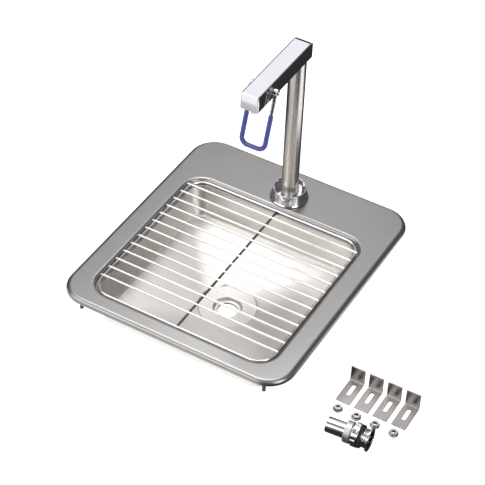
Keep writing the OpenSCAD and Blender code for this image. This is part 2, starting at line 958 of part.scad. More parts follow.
module drain_body() {
    color("silver")
        lay_drain()
            difference() {
                union() {
                    rod_x(flange_d / 2, drain_l - flange_t, drain_l);
                    rod_x(barrel_d / 2, barrel_back, drain_l);
                }
                rod_x(tail_d / 2, barrel_back - 1, barrel_back + tail_socket);
                rod_x(tail_d / 2 - body_wall, barrel_back, throat_x);
                rod_x(barrel_d / 2 - barrel_wall, throat_x - 1, drain_l + 1);
            }
}

module drain_gasket() {
    color("black")
        lay_drain()
            difference() {
                rod_x(flange_d / 2 - 0.4, gasket_x, gasket_x + gasket_l);
                rod_x(barrel_d / 2, 0, drain_l);
            }
}

// Castellated nut on the barrel
module drain_locknut() {
    notches = 8;
    notch_w = 4.4;
    notch_h = 1.8;
    color("silver")
        lay_drain()
            difference() {
                rod_x(flange_d / 2, locknut_x, locknut_x + locknut_l);
                rod_x(barrel_d / 2, 0, drain_l);
                for (k = [0:notches - 1])
                    rotate([(k + 0.5) * 360 / notches, 0, 0])
                        translate([locknut_x - 1, -notch_w / 2, flange_d / 2 - notch_h])
                            cube([locknut_l - 1, notch_w, 2 * notch_h]);
            }
}

module tailpiece_nut() {
    color("gainsboro")
        lay_drain()
            difference() {
                rod_x(barrel_d / 2 + slip_nut_wall, slip_nut_x, slip_nut_x + slip_nut_l);
                rod_x(tail_d / 2, slip_nut_x - 1, barrel_back + 1);
                rod_x(barrel_d / 2, barrel_back, drain_l);
            }
}

module drain_tailpiece() {
    color("lightgray")
        lay_drain()
            difference() {
                rod_x(tail_d / 2, 0, barrel_back + tail_socket);
                rod_x(tail_d / 2 - tail_wall, -1, drain_l);
            }
}

deck();
bowl();
for (k = [[1, -1, -1], [2, 1, -1], [3, -1, 1], [4, 1, 1]])
    stud(k[1], k[2]);
grate_frame();
grate_centre_rail();
grate_cross_wires();
collar_gasket();
collar();
shank();
under_gasket();
shank_washer();
shank_nut();
base_coupling();
riser_tube();
riser_plug();
riser_screw();
head_nut();
head_elbow();
head_shell();
head_cover();
feed_tube();
valve_body();
valve_plug();
valve_spring();
valve_stem();
valve_washer();
stem_seal();
nozzle_washer();
nozzle();
bush_left();
bush_right();
pivot_shaft();
lever_cam();
lever_hub_left();
lever_hub_right();
lever_wire();
lever_coating();
for (i = [0:3]) {
    clip(i);
    clip_nut(i);
    clip_washer(i);
}
drain_body();
drain_gasket();
drain_locknut();
tailpiece_nut();
drain_tailpiece();
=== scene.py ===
"""Drop-in handwash sink: a drawn bowl under a satin deck, a wire grate, a pedestal faucet with a
push-back lever, and the loose mounting kit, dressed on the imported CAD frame. Sizes that belong to
a piece are in millimetres beside it; places are read from the CAD nodes."""
import math

import bpy
import numpy as np
from mathutils import Matrix, Vector


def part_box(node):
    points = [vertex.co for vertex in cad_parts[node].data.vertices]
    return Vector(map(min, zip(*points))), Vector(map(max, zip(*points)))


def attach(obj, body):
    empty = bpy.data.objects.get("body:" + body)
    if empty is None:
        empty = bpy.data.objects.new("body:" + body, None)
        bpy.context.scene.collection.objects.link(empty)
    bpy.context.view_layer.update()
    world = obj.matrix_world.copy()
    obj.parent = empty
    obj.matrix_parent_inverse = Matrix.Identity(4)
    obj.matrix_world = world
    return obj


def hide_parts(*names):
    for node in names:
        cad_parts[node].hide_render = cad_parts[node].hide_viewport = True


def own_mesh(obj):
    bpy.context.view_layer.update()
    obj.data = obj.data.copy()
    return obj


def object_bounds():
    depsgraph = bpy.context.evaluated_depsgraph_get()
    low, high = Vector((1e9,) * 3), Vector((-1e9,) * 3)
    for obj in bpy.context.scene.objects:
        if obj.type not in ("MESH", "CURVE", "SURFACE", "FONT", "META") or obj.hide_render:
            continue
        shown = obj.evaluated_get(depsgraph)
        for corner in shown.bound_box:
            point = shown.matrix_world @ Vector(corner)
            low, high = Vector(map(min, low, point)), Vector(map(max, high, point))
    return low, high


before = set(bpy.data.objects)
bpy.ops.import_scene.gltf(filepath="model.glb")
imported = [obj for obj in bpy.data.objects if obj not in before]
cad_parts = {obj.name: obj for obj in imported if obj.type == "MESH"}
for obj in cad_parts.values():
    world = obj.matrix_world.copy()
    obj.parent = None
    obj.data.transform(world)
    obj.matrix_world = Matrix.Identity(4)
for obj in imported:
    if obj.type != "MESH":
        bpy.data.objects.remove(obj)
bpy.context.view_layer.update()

# ---- Studio ---------------------------------------------------------------------------------
# The camera stands above the sink's front right corner. The sink and its loose kit stand on a
# pale table among five soft boxes. Mirrors don't show the table, but three cards just under it.

MM = 0.001


def place_camera(aim, azimuth, elevation, roll, distance, lens):
    """A camera that looks at a point, all in millimetres and degrees: azimuth turns it from the
    front towards +X, and elevation raises it above the horizon."""
    turn, rise, tilt = map(math.radians, (azimuth, elevation, roll))
    back = Vector((
        math.sin(turn) * math.cos(rise), -math.cos(turn) * math.cos(rise), math.sin(rise)
    ))
    level = Vector((math.cos(turn), math.sin(turn), 0))
    upright = back.cross(level)
    right = level * math.cos(tilt) + upright * math.sin(tilt)
    top = upright * math.cos(tilt) - level * math.sin(tilt)
    data = bpy.data.cameras.new("camera")
    data.sensor_width = 36
    data.lens = lens
    camera = bpy.data.objects.new("camera", data)
    bpy.context.scene.collection.objects.link(camera)
    axes = Matrix((right, top, back)).transposed().to_4x4()
    axes.translation = (Vector(aim) + back * distance) * MM
    camera.matrix_world = axes
    bpy.context.scene.camera = camera


def soft_box(name, place, aim, size, power, colour=(1, 1, 1)):
    """A rectangular lamp at a place in metres, turned to face a point."""
    data = bpy.data.lights.new(name, "AREA")
    data.shape = "RECTANGLE"
    data.size, data.size_y = size
    data.energy = power
    data.color = colour
    lamp = bpy.data.objects.new(name, data)
    bpy.context.scene.collection.objects.link(lamp)
    lamp.location = place
    lamp.rotation_euler = (Vector(aim) - Vector(place)).to_track_quat("-Z", "Y").to_euler()


def flat_card(name, low, high, height):
    """A flat rectangle at one height in metres, facing up."""
    (x0, y0), (x1, y1) = low, high
    mesh = bpy.data.meshes.new(name)
    mesh.from_pydata(
        [(x0, y0, height), (x1, y0, height), (x1, y1, height), (x0, y1, height)], [], [(0, 1, 2, 3)]
    )
    card = bpy.data.objects.new(name, mesh)
    bpy.context.scene.collection.objects.link(card)
    return card


def pale_paint(name, colour, glow):
    """Matt white paint that also glows a little, so that shadows stay faint on it."""
    paint = bpy.data.materials.new(name)
    paint.use_nodes = True
    shader = paint.node_tree.nodes["Principled BSDF"]
    shader.inputs["Base Color"].default_value = (*colour, 1)
    shader.inputs["Roughness"].default_value = 0.9
    shader.inputs["Emission Color"].default_value = (1, 1, 1, 1)
    shader.inputs["Emission Strength"].default_value = glow
    return paint


place_camera(aim=(-6.529, 17.379, 6.5), azimuth=28.75, elevation=42.742, roll=2.38,
             distance=2157.861, lens=126.06)
bpy.context.scene.view_settings.view_transform = "Standard"

table_height, table_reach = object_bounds()[0].z, 20
table = flat_card("table", (-table_reach, -table_reach), (table_reach, table_reach), table_height)
table.data.materials.append(pale_paint("table_paint", (0.7, 0.7, 0.7), 0.95))
table.visible_glossy = False
for name, low, high, depth, glow in (
    ("front_card", (-1.2, -1.2), (0.14, -0.12), 0.002, 0.72),
    ("right_card", (0.22, 0.02), (0.9, 0.36), 0.002, 0.8),
    ("grey_card", (-0.28, -0.347), (-0.13, -0.26), 0.001, 0.25),
):
    card = flat_card(name, low, high, table_height - depth)
    card.data.materials.append(pale_paint(f"{name}_paint", (0.2, 0.2, 0.2), glow))
    card.visible_camera = False

soft_box("soft_box_behind", (-0.62, 1.37, 1.45), (0, 0, 0.1), (0.8, 0.6), 1.38, (0.98, 0.97, 1))
soft_box("soft_box_above", (-0.42, 0.28, 1.5), (0, 0, 0), (1.1, 1.0), 9)
soft_box("soft_box_left", (-0.73, -1.17, 0.85), (0, 0, 0), (1.9, 1.1), 10)
soft_box("soft_box_low", (-0.67, 1.64, 0.68), (0, 0, 0), (0.9, 0.4), 1)
soft_box("soft_box_right", (1.31, -0.53, 0.75), (0, 0, 0), (0.7, 1.0), 6)

# The sky behind them: almost black below the horizon, dark grey above it, paler overhead. Each
# stop is a place from straight down, 0, to straight up, 1, and its level of grey.
sky = ((0.48, 0.03), (0.52, 0.1), (0.86, 0.14), (1.0, 0.4))
sky_blue = 1.02
world = bpy.data.worlds.new("studio")
bpy.context.scene.world = world
world.use_nodes = True
world_nodes, world_links = world.node_tree.nodes, world.node_tree.links
direction = world_nodes.new("ShaderNodeTexCoord")
split = world_nodes.new("ShaderNodeSeparateXYZ")
height = world_nodes.new("ShaderNodeMapRange")
height.inputs["From Min"].default_value = -1
ramp = world_nodes.new("ShaderNodeValToRGB")
world_links.new(direction.outputs["Generated"], split.inputs[0])
world_links.new(split.outputs["Z"], height.inputs["Value"])
world_links.new(height.outputs["Result"], ramp.inputs["Fac"])
world_links.new(ramp.outputs["Color"], world_nodes["Background"].inputs["Color"])
while len(ramp.color_ramp.elements) < len(sky):
    ramp.color_ramp.elements.new(0.5)
for stop, (place, level) in zip(ramp.color_ramp.elements, sky):
    stop.position = place
    stop.color = (level, level, level * sky_blue, 1)

# ---- Deck -----------------------------------------------------------------------------------
# One pressed sheet of 1.2 mm stainless steel, brushed to a satin. Its outer edge is rolled down
# on to the worktop, and the edge of the opening rolls down to a ledge that carries the grate.


def corners_of(node):
    """Lowest and highest corner of a CAD node, in millimetres."""
    low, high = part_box(node)
    return np.array(low) / MM, np.array(high) / MM


def eased(corners, radii, steps=8, hold=0.04):
    """An outline with its corners rounded. Each corner becomes the rational quadratic curve that
    is a true arc, tangent to both sides at radius / tan(half the corner's angle) from it, with
    one more point held just outside each end so that flat stretches shade flat."""
    p, r = np.asarray(corners, float), np.asarray(radii, float)
    before, after = np.roll(p, 1, 0) - p, np.roll(p, -1, 0) - p
    before /= np.linalg.norm(before, axis=1)[:, None]
    after /= np.linalg.norm(after, axis=1)[:, None]
    half = np.arccos(np.clip((before * after).sum(1), -1, 1)) / 2
    reach = (r / np.tan(half))[:, None]
    past = np.where(r > 0, hold, 0)[:, None]
    t = np.linspace(0, 1, steps)[None, :, None]
    k = (1 - t) ** 2, 2 * t * (1 - t) * np.sin(half)[:, None, None], t**2
    start, end = p + before * reach, p + after * reach
    arc = (k[0] * start[:, None] + k[1] * p[:, None] + k[2] * end[:, None]) / (k[0] + k[1] + k[2])
    held = np.concatenate([(start + before * past)[:, None], arc, (end + after * past)[:, None]], 1)
    return held.reshape(-1, 2)


def rounded_path(half, centre=(0, 0), bend=20, run=20):
    """Centres and outward directions round a rectangle of corner centres. At each corner the
    direction turns a quarter while the centre stays; along each side the centre slides while the
    direction stays. A half size of nothing makes every centre the same point."""
    signs = np.array([[1, 1], [-1, 1], [-1, -1], [1, -1]])
    corner = signs * np.asarray(half, float)
    slide = np.linspace(0, 1, run + 2)[1:-1]
    share = np.concatenate([np.zeros(bend), slide])[None, :, None]
    angle = np.concatenate([np.linspace(0, 1, bend), np.ones(run)])[None] + np.arange(4)[:, None]
    centres = corner[:, None] * (1 - share) + np.roll(corner, -1, 0)[:, None] * share
    turn = angle.reshape(-1) * np.pi / 2
    return centres.reshape(-1, 2) + centre, np.stack([np.cos(turn), np.sin(turn)], 1)


def carried(paths, outline, knots):
    """Carries an outline of (place, height) round nested paths. The knots say, for a few places
    going outwards, which path the centre lies on and how far out from it the point is; between
    knots both change in proportion. Point = centre + distance x outward direction."""
    place, which, out = np.array(knots, float).T
    number = np.interp(outline[:, 0], place, which)
    distance = np.interp(outline[:, 0], place, out)
    centres = np.stack([path[0] for path in paths])
    lower = np.clip(number.astype(int), 0, len(paths) - 2)
    part = (number - lower)[:, None, None]
    base = centres[lower] * (1 - part) + centres[lower + 1] * part
    flat = base + distance[:, None, None] * paths[0][1]
    height = np.broadcast_to(outline[:, 1][:, None, None], flat.shape[:2] + (1,))
    return np.concatenate([flat, height], -1).transpose(1, 0, 2)


def shell(name, grids, around=True, across=True, smooth=40, meet=2e-7):
    """A mesh of quads over one or more equal grids of points in millimetres, joined up round the
    grid and across it. Points that meet are merged, and faces are turned so that the volume
    inside is positive. Edges sharper than an angle stay sharp."""
    grids = np.asarray(grids, float)
    grids = grids[None] if grids.ndim == 3 else grids
    count, rows, columns = grids.shape[:3]
    index = np.arange(rows * columns).reshape(rows, columns)
    index = np.vstack([index, index[:1]]) if around else index
    index = np.hstack([index, index[:, :1]]) if across else index
    quads = np.stack([index[:-1, :-1], index[1:, :-1], index[1:, 1:], index[:-1, 1:]], -1)
    quads = (quads.reshape(1, -1, 4) + np.arange(count)[:, None, None] * rows * columns)
    quads, points = quads.reshape(-1, 4), grids.reshape(-1, 3) * MM
    merged, place = np.unique(np.round(points / meet).astype(np.int64), axis=0, return_inverse=True)
    first = np.zeros(len(merged), int)
    first[place.reshape(-1)[::-1]] = np.arange(len(points))[::-1]
    points, quads = points[first], place.reshape(-1)[quads]
    a, b, c, d = (points[quads[:, i]] for i in range(4))
    volume = (np.cross(a, b) * c).sum() + (np.cross(a, c) * d).sum()
    quads = quads if volume > 0 else quads[:, ::-1]
    mesh = bpy.data.meshes.new(name)
    mesh.from_pydata(points, [], trimmed(quads))
    mesh.validate()
    mesh.polygons.foreach_set("use_smooth", np.ones(len(mesh.polygons), bool))
    mesh.set_sharp_from_angle(angle=math.radians(smooth))
    piece = bpy.data.objects.new(name, mesh)
    bpy.context.scene.collection.objects.link(piece)
    return piece


def trimmed(quads):
    """Quads as lists of corners, with a corner left out where two of them are one point, and
    faces with fewer than three corners left out."""
    same = quads == np.roll(quads, 1, 1)
    faces = [quads[same.sum(1) == 0].tolist()]
    three = quads[same.sum(1) == 1]
    keep = ~(three == np.roll(three, 1, 1))
    faces.append(three[keep].reshape(-1, 3).tolist())
    return faces[0] + faces[1]


def drill(piece, *cutters, smooth=40):
    """Takes the cutters' solids out of the piece, then removes them."""
    for cutter in cutters:
        step = piece.modifiers.new("cut", "BOOLEAN")
        step.operation, step.solver, step.object = "DIFFERENCE", "EXACT", cutter
    bpy.context.view_layer.update()
    graph = bpy.context.evaluated_depsgraph_get()
    cut = bpy.data.meshes.new_from_object(piece.evaluated_get(graph))
    piece.modifiers.clear()
    piece.data = cut
    cut.set_sharp_from_angle(angle=math.radians(smooth))
    for cutter in cutters:
        bpy.data.objects.remove(cutter)


def turned(name, outline, origin, axis=(0, 0, 1), sides=96, across=True, thread=None):
    """An outline of (radius, height) turned about an axis through a point. A thread (from, to,
    pitch, depth, crest) lowers the radii near the crest, between two heights, by a rounded vee
    that climbs one pitch a turn: depth x |cosine of half the phase|."""
    angle = np.linspace(0, 2 * np.pi, sides, endpoint=False)[:, None]
    radius, height = outline[:, 0] + 0 * angle, outline[:, 1] + 0 * angle
    if thread:
        low, high, pitch, depth, crest = thread
        phase = height / pitch - angle / (2 * np.pi)
        fade = np.clip((height - low) / pitch, 0, 1) * np.clip((high - height) / pitch, 0, 1)
        outer = np.abs(radius - crest) < depth
        radius = radius - depth * np.abs(np.cos(np.pi * phase)) * np.clip(fade * 2, 0, 1) * outer
    along = Vector(axis).normalized()
    turn = np.array(Vector((0, 0, 1)).rotation_difference(along).to_matrix())
    local = np.stack([radius * np.cos(angle), radius * np.sin(angle), height], -1)
    return shell(name, local @ turn.T + np.asarray(origin), across=across)


def finish(name, colour, rough, metal=1.0, grain=(900, 900, 900), streak=0.04, vary=0.05,
           patch=0.04, patch_size=14, relief=0.05, noise=(0.3, 0.7), **sockets):
    """A procedural finish in the piece's own coordinates. Stretched fine noise is the grain: it
    shifts the colour by streak, the roughness by vary and raises a relief. Broad noise shifts the
    colour by patch. Noise is the range that the fine noise mostly keeps to, and further sockets
    of the shader are set as they are given."""
    paint = bpy.data.materials.new(name)
    paint.use_nodes = True
    nodes, links = paint.node_tree.nodes, paint.node_tree.links
    shader = nodes["Principled BSDF"]
    place, stretch = nodes.new("ShaderNodeTexCoord"), nodes.new("ShaderNodeMapping")
    stretch.inputs["Scale"].default_value = grain
    fine, broad = nodes.new("ShaderNodeTexNoise"), nodes.new("ShaderNodeTexNoise")
    fine.inputs["Scale"].default_value = 1
    fine.inputs["Detail"].default_value = 3
    broad.inputs["Scale"].default_value = patch_size
    broad.inputs["Detail"].default_value = 2
    links.new(place.outputs["Object"], stretch.inputs["Vector"])
    links.new(stretch.outputs["Vector"], fine.inputs["Vector"])
    links.new(place.outputs["Object"], broad.inputs["Vector"])
    wide, narrow = nodes.new("ShaderNodeMix"), nodes.new("ShaderNodeMix")
    for mix in (wide, narrow):
        mix.data_type = "RGBA"
    links.new(broad.outputs["Fac"], wide.inputs["Factor"])
    wide.inputs[6].default_value = (*[c * (1 - patch) for c in colour], 1)
    wide.inputs[7].default_value = (*[min(c * (1 + patch), 1) for c in colour], 1)
    shade = nodes.new("ShaderNodeMapRange")
    shade.inputs["From Min"].default_value, shade.inputs["From Max"].default_value = noise
    shade.inputs["To Min"].default_value, shade.inputs["To Max"].default_value = 1 - streak, 1
    links.new(fine.outputs["Fac"], shade.inputs["Value"])
    narrow.blend_type = "MULTIPLY"
    narrow.inputs["Factor"].default_value = 1
    links.new(wide.outputs[2], narrow.inputs[6])
    links.new(shade.outputs["Result"], narrow.inputs[7])
    links.new(narrow.outputs[2], shader.inputs["Base Color"])
    gloss = nodes.new("ShaderNodeMapRange")
    gloss.inputs["From Min"].default_value, gloss.inputs["From Max"].default_value = noise
    gloss.inputs["To Min"].default_value = rough * (1 - vary)
    gloss.inputs["To Max"].default_value = rough * (1 + vary)
    links.new(fine.outputs["Fac"], gloss.inputs["Value"])
    links.new(gloss.outputs["Result"], shader.inputs["Roughness"])
    raised = nodes.new("ShaderNodeBump")
    raised.inputs["Strength"].default_value = relief
    raised.inputs["Distance"].default_value = 0.1 * MM
    links.new(fine.outputs["Fac"], raised.inputs["Height"])
    links.new(raised.outputs["Normal"], shader.inputs["Normal"])
    shader.inputs["Metallic"].default_value = metal
    for socket, value in sockets.items():
        shader.inputs[socket.replace("_", " ")].default_value = value
    return paint


def fit(piece, paint, slot, body, *stands_for):
    """Paints a piece, hangs it on its body's empty and hides the CAD nodes it stands for. The slot
    is not used.
    """
    piece.data.materials.clear()
    piece.data.materials.append(paint)
    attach(piece, body)
    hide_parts(*stands_for)
    return piece


deck_low, deck_high = corners_of("deck")
sheet = 1.2
deck_corner, edge_roll = 36, 6
opening_corner, lip_roll, ledge, lip_space = 32, 5, 6.5, 0.5
side_border, front_border, back_border = 26.5, 20, 74.6
deck_top, deck_foot = deck_high[2], deck_low[2]
ledge_top = deck_top - lip_roll - lip_space
ledge_out = opening_corner - lip_roll - lip_space
ledge_in = ledge_out - ledge
opening_half = (deck_high[:2] - deck_low[:2] - (2 * side_border, front_border + back_border)) / 2
opening_centre = np.array([0, (front_border - back_border) / 2])
opening_path = rounded_path(opening_half - opening_corner, opening_centre)
deck_path = rounded_path((deck_high - deck_low)[:2] / 2 - deck_corner)

# Places past this one on an outline count outwards from the corner centres of the outer path.
flat = 100
rim = flat + deck_corner
deck_outline = eased(
    [(ledge_in, ledge_top), (ledge_out, ledge_top), (ledge_out, deck_top), (rim, deck_top),
     (rim, deck_foot), (rim - sheet, deck_foot), (rim - sheet, deck_top - sheet),
     (ledge_out + sheet, deck_top - sheet), (ledge_out + sheet, ledge_top - sheet),
     (ledge_in, ledge_top - sheet)],
    [1.1, 0.35, lip_roll, edge_roll, 0.35, 0.35, edge_roll - sheet, lip_roll - sheet, 0, 0],
)
deck_knots = [(ledge_in, 0, ledge_in), (opening_corner, 0, opening_corner),
              (rim - edge_roll, 1, deck_corner - edge_roll), (rim, 1, deck_corner)]
deck = shell("deck_sheet", carried([opening_path, deck_path], deck_outline, deck_knots))
shank_low, shank_high = corners_of("shank")
post_axis = (shank_low + shank_high) / 2
hole_radius, hole_over = shank_high[0] + 0.7, deck_top + 1
post_hole = turned(
    "post_hole",
    eased([(0, deck_foot), (hole_radius, deck_foot), (hole_radius, hole_over), (0, hole_over)],
          [0, 0, 0, 0]),
    (post_axis[0], post_axis[1], 0), across=False,
)
drill(deck, post_hole)
# The deck's colour is about half that of the bowl and post of the same steel: painted shade.
satin_painted_shade = finish("satin_sheet_painted_shade", (0.48, 0.47, 0.458), 0.33, grain=(25, 1400, 1400), streak=0.1,
               vary=0.12, patch=0.05, relief=0.06)
fit(deck, satin_painted_shade, "satin_stainless", "sink", "deck")

# ---- Bowl -----------------------------------------------------------------------------------
# Drawn from the same sheet and welded under the ledge: walls that lean in a little, four panels
# falling to a round recess, a seat for the drain flange and a hole with a turned-down lip.

bowl_low, bowl_high = corners_of("bowl")
wall_top, bowl_foot = bowl_high[2], bowl_low[2]
wall_depth, wall_lean, floor_fall, recess_depth, recess_out = 55, 2, 17, 2, 39
seat_step, seat_out, hole_lip, hole_out = 1, 18.8, 2.5, 12.7
wall_foot = deck_top - wall_depth
recess_edge = wall_foot - floor_fall
recess_floor = recess_edge - recess_depth
seat_edge, seat_floor = recess_floor - seat_step, bowl_foot + hole_lip
wall_in = flat + ledge_in
foot_in = wall_in - wall_lean
bowl_outline = eased(
    [(wall_in, wall_top), (foot_in, wall_foot), (recess_out, recess_edge),
     (recess_out - 1.8, recess_floor), (seat_out, seat_edge), (seat_out - 2, seat_floor),
     (hole_out, seat_floor), (hole_out, bowl_foot), (hole_out + sheet, bowl_foot),
     (hole_out + sheet, seat_floor - sheet), (seat_out - 1.2, seat_floor - sheet),
     (seat_out + 0.8, seat_edge - sheet), (recess_out - sheet, recess_floor - sheet),
     (recess_out + 0.6, recess_edge - sheet), (foot_in + sheet, wall_foot - sheet),
     (wall_in + sheet, wall_top)],
    [0, 4, 1.2, 0.8, 1, 0.9, 0.9, 0.3, 0.3, 0.3, 0.8, 0.8, 0.8, 1, 5, 0],
)
bowl_knots = [(0, 0, 0), (recess_out, 0, recess_out), (foot_in, 1, foot_in - flat),
              (wall_in + sheet, 1, ledge_in + sheet)]
drain_point = rounded_path((0, 0), opening_centre)
bowl_path = rounded_path(opening_half - opening_corner, opening_centre)
bowl = shell("bowl_shell", carried([drain_point, bowl_path], bowl_outline, bowl_knots))
drawn_satin = finish("drawn_sheet", (0.92, 0.89, 0.85), 0.36, grain=(500, 500, 500), streak=0.03,
                     vary=0.06, patch=0.03, patch_size=20, relief=0.015)
fit(bowl, drawn_satin, "satin_stainless", "sink", "bowl")

# ---- Hold-down studs ------------------------------------------------------------------------
# Four threaded steel studs, welded by a small flange under the deck near its corners. A clip and
# a nut on each pull the deck down on to the worktop.

stud_zinc = finish("stud_zinc", (0.16, 0.16, 0.165), 0.45, grain=(300, 300, 300), patch_size=90)
stud_flange, stud_radius, stud_pitch, stud_groove, stud_tip, run_out = 0.8, 2.4, 0.8, 0.4, 0.6, 0.3
for number in range(1, 5):
    low, high = corners_of(f"stud_{number}")
    flange_radius, tip, top = (high[0] - low[0]) / 2, low[2], high[2]
    under = top - stud_flange
    heights = np.linspace(tip + stud_tip, under - run_out, 260)
    outline = np.concatenate([
        [(0, tip), (stud_radius - stud_tip, tip)],
        np.stack([np.full(len(heights), stud_radius), heights], 1),
        [(stud_radius, under), (flange_radius - 0.2, under), (flange_radius, under + 0.2),
         (flange_radius, top), (0, top)],
    ])
    stud = turned(f"stud_rod_{number}", outline, (*((low + high) / 2)[:2], 0), sides=24,
                  across=False, thread=(tip + stud_tip, under - run_out, stud_pitch, stud_groove,
                                        stud_radius))
    fit(stud, stud_zinc, "stud_steel", "sink", f"stud_{number}")

# ---- Grate ----------------------------------------------------------------------------------
# A loose stainless wire grate on the ledge: one wire bent into a frame, a rail down its middle
# and thirteen straight wires resistance-welded across their tops, polished but for the rail,
# which is rougher and coloured dark as painted shade.


def drawn(name, lines, section, up, closed=False, ease=0.3, steps=5):
    """A section of (across, upward) offsets carried along one or more lines of equal length. Up
    is the same all along, and across is the line's direction x up. Each open end is eased over by
    a quarter ellipse that takes its depth off both half sizes, then closed on its middle."""
    lines = np.asarray(lines, float)
    lines = lines[None] if lines.ndim == 2 else lines
    up = np.asarray(up, float) / np.linalg.norm(up)
    ahead = np.roll(lines, -1, 1) - np.roll(lines, 1, 1)
    if not closed:
        ahead[:, 0], ahead[:, -1] = lines[:, 1] - lines[:, 0], lines[:, -1] - lines[:, -2]
    ahead /= np.linalg.norm(ahead, axis=2)[..., None]
    share = np.ones((lines.shape[1], 2))
    if not closed:
        turn = np.linspace(0, np.pi / 2, steps)
        inset = 1 - ease * (1 - np.sin(turn))[:, None] / np.abs(section).max(0)
        depth = ease * (1 - np.cos(turn))
        start = lines[:, :1] + ahead[:, :1] * depth[None, :, None]
        end = lines[:, -1:] - ahead[:, -1:] * depth[None, ::-1, None]
        lines = np.concatenate([lines[:, :1], start, lines[:, 1:-1], end, lines[:, -1:]], 1)
        ahead = np.concatenate([np.repeat(ahead[:, :1], steps + 1, 1), ahead[:, 1:-1],
                                np.repeat(ahead[:, -1:], steps + 1, 1)], 1)
        share = np.concatenate([[(0, 0)], inset, share[1:-1], inset[::-1], [(0, 0)]])
    across = np.cross(ahead, up)
    offset = section[None] * share[:, None]
    grid = (lines[:, :, None] + across[:, :, None] * offset[None, :, :, :1]
            + up * offset[None, :, :, 1:])
    return shell(name, grid, around=closed)


def round_section(radius, sides=20):
    """A circle of offsets."""
    turn = np.linspace(0, 2 * np.pi, sides, endpoint=False)
    return radius * np.stack([np.cos(turn), np.sin(turn)], 1)


frame_low, frame_high = corners_of("grate_frame")
wire = (frame_high[2] - frame_low[2]) / 2
frame_corner, frame_level, flat_up = 24, (frame_high[2] + frame_low[2]) / 2, (0, 0, 1)
frame_half = (frame_high - frame_low)[:2] / 2 - wire - frame_corner
centres, outward = rounded_path(frame_half, opening_centre, bend=24, run=40)
frame_line = np.column_stack([centres + frame_corner * outward,
                              np.full(len(centres), frame_level)])
bright = finish("bright_wire", (0.9, 0.9, 0.9), 0.12, grain=(60, 500, 500), streak=0.05,
                patch=0.03, patch_size=60, relief=0.04)
grate_frame = drawn("grate_frame_wire", frame_line, round_section(wire), flat_up, closed=True)
fit(grate_frame, bright, "bright_wire", "grate", "grate_frame")

rail_low, rail_high = corners_of("grate_centre_rail")
rail_line = np.linspace((0, rail_low[1], frame_level), (0, rail_high[1], frame_level), 60)
rail = drawn("grate_rail", rail_line, round_section(wire), flat_up, ease=0.5)
# The rail's near-black colour is painted shade: the rail is the same steel wire as the rest.
rail_painted_shade = finish("rail_wire_painted_shade", (0.2, 0.2, 0.2), 0.3, grain=(500, 60, 500), patch_size=60)
fit(rail, rail_painted_shade, "bright_wire", "grate", "grate_centre_rail")

cross_low, cross_high = corners_of("grate_cross_wires")
cross_count = 13
cross_level = cross_high[2] - wire
rows = np.linspace(cross_low[1] + wire, cross_high[1] - wire, cross_count)
span = np.linspace(cross_low[0], cross_high[0], 50)
cross_lines = np.stack([np.stack([span, 0 * span + row, 0 * span + cross_level], 1)
                        for row in rows])
cross_wires = drawn("grate_wires", cross_lines, round_section(wire), flat_up, ease=0.7)
fit(cross_wires, bright, "bright_wire", "grate", "grate_cross_wires")

# A small flattened ball of weld where each cross wire meets the frame and the rail.
bead, flatness = 1.25, 0.75
rings, ticks = np.linspace(0, np.pi, 9), np.linspace(0, 2 * np.pi, 14, endpoint=False)
ball = np.stack([np.sin(rings)[:, None] * np.cos(ticks), np.sin(rings)[:, None] * np.sin(ticks),
                 flatness * np.cos(rings)[:, None] + 0 * ticks], -1) * bead
bead_x = np.array([-1, 0, 1]) * (frame_high[0] - wire)
bead_places = np.stack(np.meshgrid(bead_x, rows, [(frame_level + cross_level) / 2]), -1)
beads = shell("grate_weld_beads", ball + bead_places.reshape(-1, 1, 1, 3), around=False)
fit(beads, bright, "bright_wire", "grate", "grate_cross_wires")

# ---- Collar ---------------------------------------------------------------------------------
# A chromed open cup that hides the hole in the deck. It sits on a thin black gasket, and the
# coupling in its middle screws on to the shank and clamps it down.

x_post, y_post = post_axis[:2]
gasket_low, gasket_high = corners_of("collar_gasket")
gasket_radius = (gasket_high[0] - gasket_low[0]) / 2
shank_radius, shank_gap = shank_high[0], 1
rubber = finish("black_rubber", (0.018, 0.018, 0.018), 0.6, metal=0, grain=(700, 700, 700),
                patch_size=80, relief=0.2)
gasket = turned(
    "collar_seal",
    eased([(shank_radius + shank_gap, gasket_low[2]), (gasket_radius, gasket_low[2]),
           (gasket_radius, gasket_high[2]), (shank_radius + shank_gap, gasket_high[2])],
          [0, 0.35, 0.35, 0]),
    (x_post, y_post, 0),
)
fit(gasket, rubber, "rubber", "sink", "collar_gasket")

collar_low, collar_high = corners_of("collar")
foot_radius = (collar_high[0] - collar_low[0]) / 2
foot, brim = collar_low[2], collar_high[2]
cup_radius, brim_radius, cup_wall, cup_floor = foot_radius - 1.1, 22, 1.3, 3.2
foot_edge, foot_slope, eye_gap = 1.2, 2.6, 0.2
chrome = finish("mirror_chrome", (0.87, 0.87, 0.89), 0.05, grain=(60, 60, 60), streak=0.02,
                vary=0.3, patch=0.02, patch_size=30, relief=0.012)
collar = turned(
    "collar_cup",
    eased([(shank_radius + eye_gap, foot), (foot_radius, foot), (foot_radius, foot + foot_edge),
           (cup_radius, foot + foot_slope), (brim_radius, brim), (brim_radius - cup_wall, brim),
           (cup_radius - 2 * cup_wall, foot + cup_floor),
           (shank_radius + eye_gap, foot + cup_floor)],
          [0.1, 0.3, 0.6, 0.8, 0.5, 0.5, 1.6, 0.1]),
    (x_post, y_post, 0), sides=128,
)
fit(collar, chrome, "chrome", "sink", "collar")

# ---- Riser ----------------------------------------------------------------------------------
# The post: a short coupling and a drawn stainless tube above it, ground lengthways to a satin,
# with a fine groove between the two. A grub screw locks the tube to the plug in its top.

